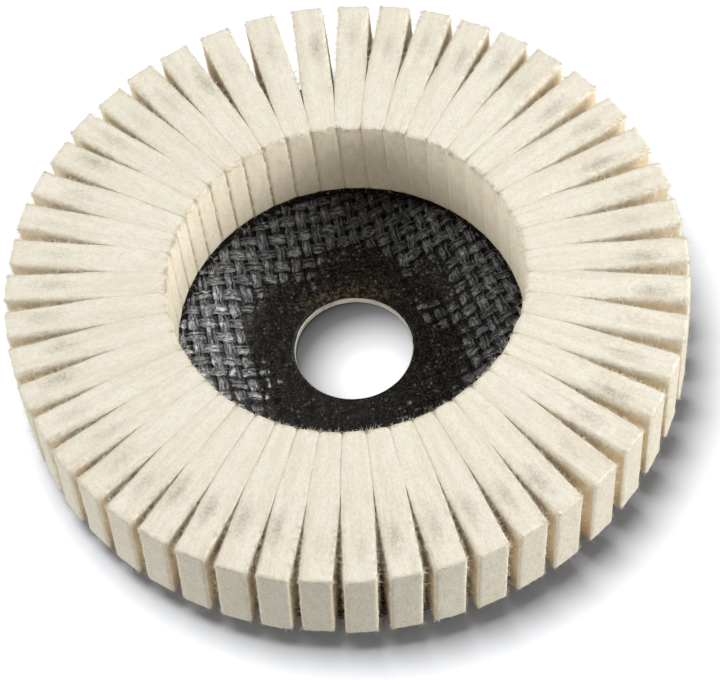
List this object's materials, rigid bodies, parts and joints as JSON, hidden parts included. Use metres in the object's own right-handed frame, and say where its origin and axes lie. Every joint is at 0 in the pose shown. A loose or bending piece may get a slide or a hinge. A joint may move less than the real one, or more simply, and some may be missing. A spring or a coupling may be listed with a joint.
{
  "type": "felt polishing flap wheel",
  "caption": "Round grinder wheel with thick wool-felt blocks standing in a ring on a dished, cloth-faced backing plate with a steel-lined spindle bore.",
  "frame": {"origin": "on the bore's axis, at the rear face of the hub that seats on the grinder's flange", "axes": "+Z along the spindle from the grinder towards the working face of the felt; +X and +Y across the wheel"},
  "size_m": [0.1252, 0.125, 0.0271],
  "materials": {
    "felt": "dense white wool felt, matt, fibrous, slightly warm",
    "backing_cloth": "black basket-weave cloth pressed in resin, satin on the yarns",
    "glass_core": "dark resin full of glass fibre, rough cut edge",
    "arbor_steel": "dull zinc-plated pressed steel",
    "adhesive": "black cured adhesive, uneven",
    "label_paper": "coated off-white paper, unprinted but for plain rings"
  },
  "bodies": {
    "root": {"backing_cloth_rear": "backing_cloth", "backing_core": "glass_core", "backing_cloth_front": "backing_cloth", "arbor_ring": "arbor_steel", "adhesive_bed": "adhesive", "rear_label": "label_paper", "felt_flap_01": "felt", "felt_flap_02": "felt", "felt_flap_03": "felt", "felt_flap_04": "felt", "felt_flap_05": "felt", "felt_flap_06": "felt", "felt_flap_07": "felt", "felt_flap_08": "felt", "felt_flap_09": "felt", "felt_flap_10": "felt", "felt_flap_11": "felt", "felt_flap_12": "felt", "felt_flap_13": "felt", "felt_flap_14": "felt", "felt_flap_15": "felt", "felt_flap_16": "felt", "felt_flap_17": "felt", "felt_flap_18": "felt", "felt_flap_19": "felt", "felt_flap_20": "felt", "felt_flap_21": "felt", "felt_flap_22": "felt", "felt_flap_23": "felt", "felt_flap_24": "felt", "felt_flap_25": "felt", "felt_flap_26": "felt", "felt_flap_27": "felt", "felt_flap_28": "felt", "felt_flap_29": "felt", "felt_flap_30": "felt", "felt_flap_31": "felt", "felt_flap_32": "felt", "felt_flap_33": "felt", "felt_flap_34": "felt", "felt_flap_35": "felt", "felt_flap_36": "felt", "felt_flap_37": "felt", "felt_flap_38": "felt", "felt_flap_39": "felt", "felt_flap_40": "felt", "felt_flap_41": "felt", "felt_flap_42": "felt", "felt_flap_43": "felt", "felt_flap_44": "felt", "felt_flap_45": "felt", "felt_flap_46": "felt", "felt_flap_47": "felt", "felt_flap_48": "felt"}
  },
  "joints": []
}
